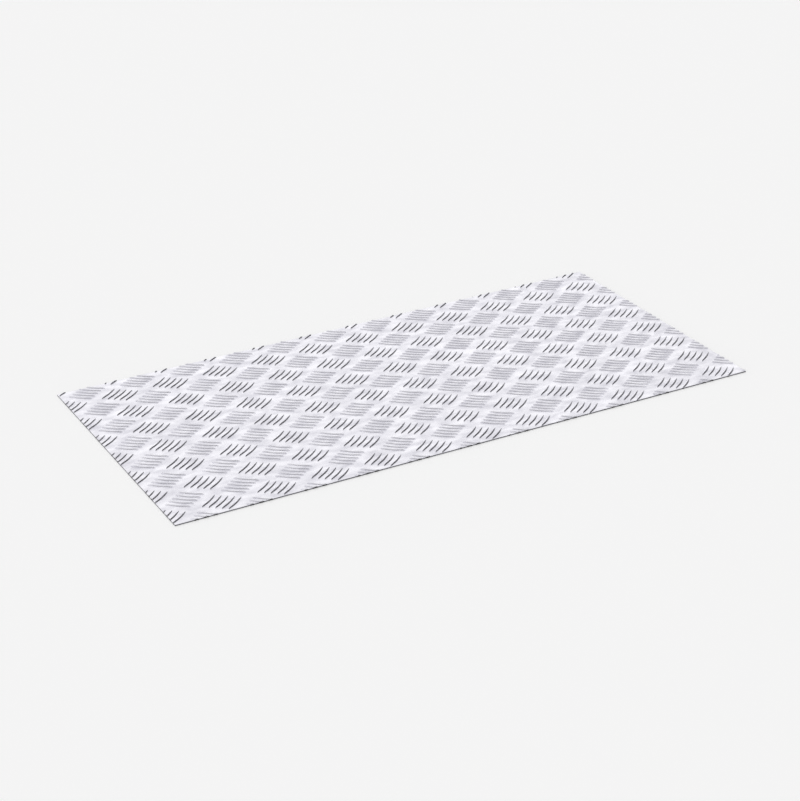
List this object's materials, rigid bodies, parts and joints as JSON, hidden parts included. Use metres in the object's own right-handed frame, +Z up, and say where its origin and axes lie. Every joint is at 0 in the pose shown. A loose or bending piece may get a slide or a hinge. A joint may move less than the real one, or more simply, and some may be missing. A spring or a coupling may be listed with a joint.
{
  "type": "aluminium five-bar tread plate",
  "caption": "Flat rectangular aluminium sheet with groups of five raised non-slip bars rolled into its top face, for floors, ramps and steps.",
  "frame": {"origin": "middle of the sheet's flat underside", "axes": "+X along the sheet's length, +Y along its width, +Z up through the raised bars"},
  "size_m": [1, 0.5, 0.0035],
  "materials": {
    "mill_finish_aluminium": "bright mill finish, rolled, with sheared edges"
  },
  "bodies": {
    "root": {"tread_plate": "mill_finish_aluminium"}
  },
  "joints": []
}
